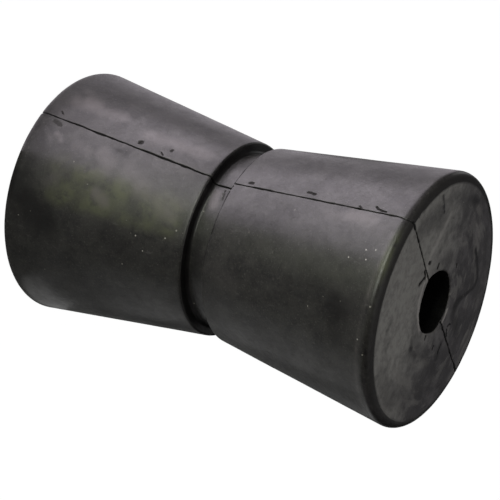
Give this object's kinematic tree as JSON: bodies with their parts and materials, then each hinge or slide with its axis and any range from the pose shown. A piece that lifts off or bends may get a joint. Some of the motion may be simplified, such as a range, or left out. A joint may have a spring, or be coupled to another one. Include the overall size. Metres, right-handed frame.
{
  "type": "boat trailer roller",
  "caption": "Hourglass keel roller moulded in black rubber: blunt cones meet at a square groove round the waist, with a plain bore for a spindle and a fine mould parting line.",
  "frame": {"origin": "middle of the bore, halfway between the end faces", "axes": "+Z along the bore; the roller stands on its -Z end face; the mould parting line lies in the YZ plane"},
  "size_m": [0.0896, 0.0896, 0.15],
  "materials": {
    "black_rubber": "moulded black rubber, soft sheen, light scuffs"
  },
  "bodies": {
    "root": {"keel_roller": "black_rubber"}
  },
  "joints": []
}
